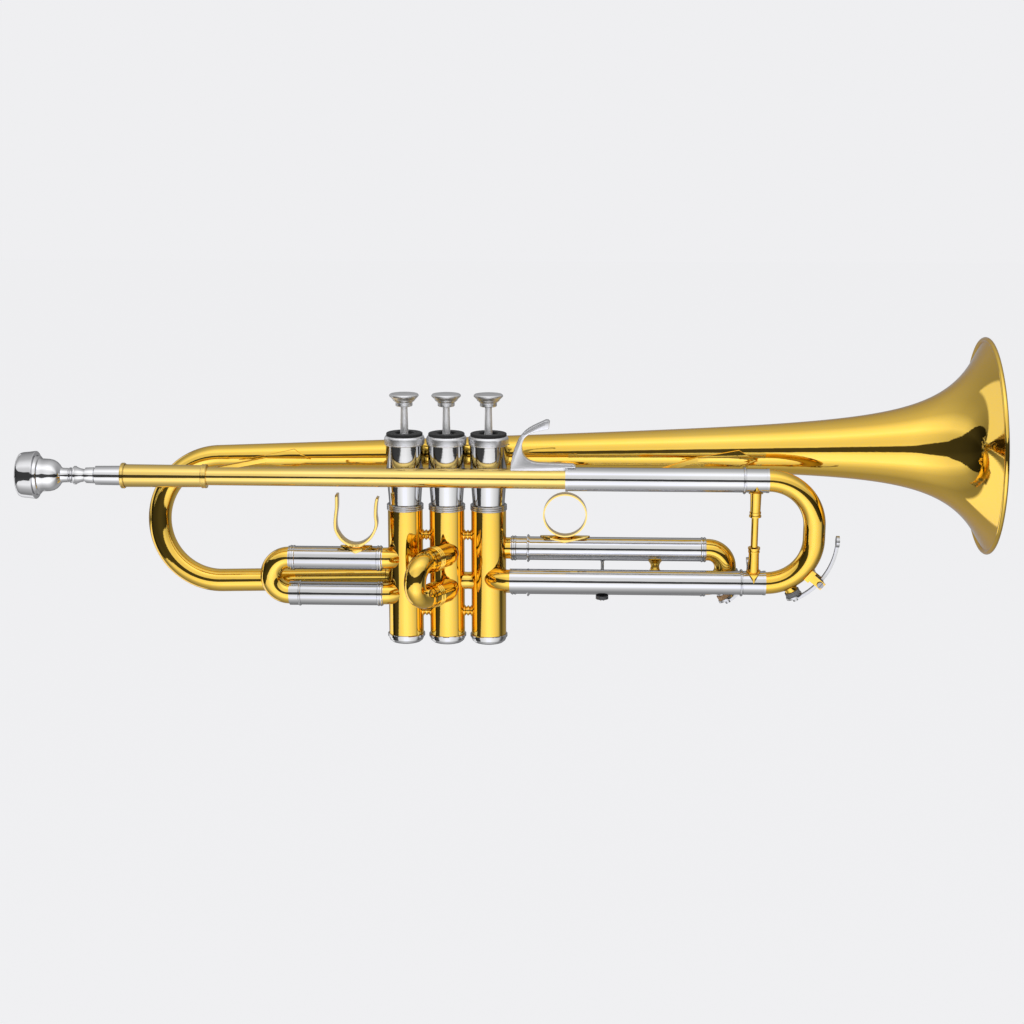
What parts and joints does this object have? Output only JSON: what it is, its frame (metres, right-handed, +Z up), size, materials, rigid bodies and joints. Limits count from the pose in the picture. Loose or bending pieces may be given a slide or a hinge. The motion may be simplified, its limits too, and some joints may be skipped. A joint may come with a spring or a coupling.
{
  "type": "trumpet",
  "caption": "Three-valve trumpet in brass and nickel silver: flared bell, piston valves that spring back, pull-out tuning and valve slides, water keys and a removable mouthpiece.",
  "frame": {"origin": "middle of the flat underside of the middle valve's bottom cap", "axes": "+X from the mouthpiece to the bell, +Y away from the pictured side, +Z up along the valves towards the finger buttons"},
  "size_m": [0.5441, 0.1256, 0.1734],
  "materials": {
    "lacquered_brass": "polished and lacquered",
    "nickel_silver": "polished",
    "bright_plate": "bright plated",
    "black_felt": "pressed felt",
    "plain_steel": "plain",
    "cork_rubber": "matt"
  },
  "bodies": {
    "body": {"valve_casing_1": "lacquered_brass", "valve_casing_2": "lacquered_brass", "valve_casing_3": "lacquered_brass", "valve_balusters": "nickel_silver", "bottom_caps": "nickel_silver", "top_caps": "bright_plate", "cap_felts": "black_felt", "valve_guides": "plain_steel", "casing_spools": "lacquered_brass", "crossover_tubes": "lacquered_brass", "valve_knuckles": "lacquered_brass", "leadpipe": "lacquered_brass", "mouthpiece_receiver": "lacquered_brass", "tuning_sleeve_upper": "nickel_silver", "tuning_sleeve_lower": "nickel_silver", "finger_hook": "nickel_silver", "bell_flare": "lacquered_brass", "bell_stem": "lacquered_brass", "bell_bow": "lacquered_brass", "rear_bell_brace": "lacquered_brass", "front_bell_brace": "lacquered_brass", "slide_inner_tubes": "nickel_silver", "first_lower_sleeve": "nickel_silver", "second_sockets": "lacquered_brass", "valve_spring_1": "plain_steel", "valve_spring_2": "plain_steel", "valve_spring_3": "plain_steel"},
    "valve_1": {"piston_1": "plain_steel", "valve_stem_1": "bright_plate", "finger_button_1": "bright_plate"},
    "valve_2": {"piston_2": "plain_steel", "valve_stem_2": "bright_plate", "finger_button_2": "bright_plate"},
    "valve_3": {"piston_3": "plain_steel", "valve_stem_3": "bright_plate", "finger_button_3": "bright_plate"},
    "tuning_slide": {"tuning_bow": "lacquered_brass", "tuning_legs": "nickel_silver", "tuning_brace": "lacquered_brass", "tuning_key_saddle": "lacquered_brass", "tuning_key_screw": "plain_steel", "tuning_key_spring": "plain_steel"},
    "tuning_water_key": {"tuning_key_lever": "nickel_silver", "tuning_key_cork": "cork_rubber"},
    "first_slide": {"first_bow": "lacquered_brass", "first_outer_tube": "nickel_silver", "first_inner_leg": "nickel_silver", "thumb_saddle": "lacquered_brass"},
    "second_slide_body": {"second_slide": "lacquered_brass"},
    "third_slide": {"third_outer_tubes": "nickel_silver", "third_bow": "lacquered_brass", "third_stay": "lacquered_brass", "third_fittings": "nickel_silver", "finger_ring": "lacquered_brass", "third_key_screw": "plain_steel", "third_key_spring": "plain_steel"},
    "third_water_key": {"third_key_lever": "nickel_silver", "third_key_cork": "cork_rubber"},
    "lyre_nut_body": {"lyre_nut": "plain_steel"},
    "mouthpiece_body": {"mouthpiece": "bright_plate"}
  },
  "joints": [
    {"name": "valve_1_press", "type": "slide", "parent": "body", "child": "valve_1", "axis": [0, 0, -1], "range_m": [0, 0.0162], "stiffness_N_per_m": 120, "springref_m": -0.03, "deforming": ["valve_spring_1"]},
    {"name": "valve_2_press", "type": "slide", "parent": "body", "child": "valve_2", "axis": [0, 0, -1], "range_m": [0, 0.0162], "stiffness_N_per_m": 120, "springref_m": -0.03, "deforming": ["valve_spring_2"]},
    {"name": "valve_3_press", "type": "slide", "parent": "body", "child": "valve_3", "axis": [0, 0, -1], "range_m": [0, 0.0162], "stiffness_N_per_m": 120, "springref_m": -0.03, "deforming": ["valve_spring_3"]},
    {"name": "tuning_slide_pull", "type": "slide", "parent": "body", "child": "tuning_slide", "axis": [1, 0, 0], "range_m": [0, 0.035]},
    {"name": "tuning_water_key_press", "type": "hinge", "parent": "tuning_slide", "child": "tuning_water_key", "pos_m": [0.20899, -0.01207, 0.04003], "axis": [0, -0.9965, -0.0839], "range_deg": [0, 11], "stiffness_Nm_per_rad": 0.06, "springref_deg": -28.65},
    {"name": "first_slide_pull", "type": "slide", "parent": "body", "child": "first_slide", "axis": [-1, 0, 0], "range_m": [0, 0.02]},
    {"name": "second_slide_pull", "type": "slide", "parent": "body", "child": "second_slide_body", "axis": [-0.515, -0.8572, 0], "range_m": [0, 0.012]},
    {"name": "third_slide_pull", "type": "slide", "parent": "body", "child": "third_slide", "axis": [1, 0, 0], "range_m": [0, 0.025]},
    {"name": "third_water_key_press", "type": "hinge", "parent": "third_slide", "child": "third_water_key", "pos_m": [0.16942, 0.0024, 0.03745], "axis": [0, -1, 0], "range_deg": [0, 11], "stiffness_Nm_per_rad": 0.06, "springref_deg": -28.65},
    {"name": "lyre_nut_turn", "type": "hinge", "parent": "third_slide", "child": "lyre_nut_body", "pos_m": [0.088, 0.0024, 0.0257], "axis": [0, 0, 1], "continuous": true},
    {"name": "mouthpiece_pull", "type": "slide", "parent": "body", "child": "mouthpiece_body", "axis": [-1, 0, 0], "range_m": [0, 0.027]}
  ]
}
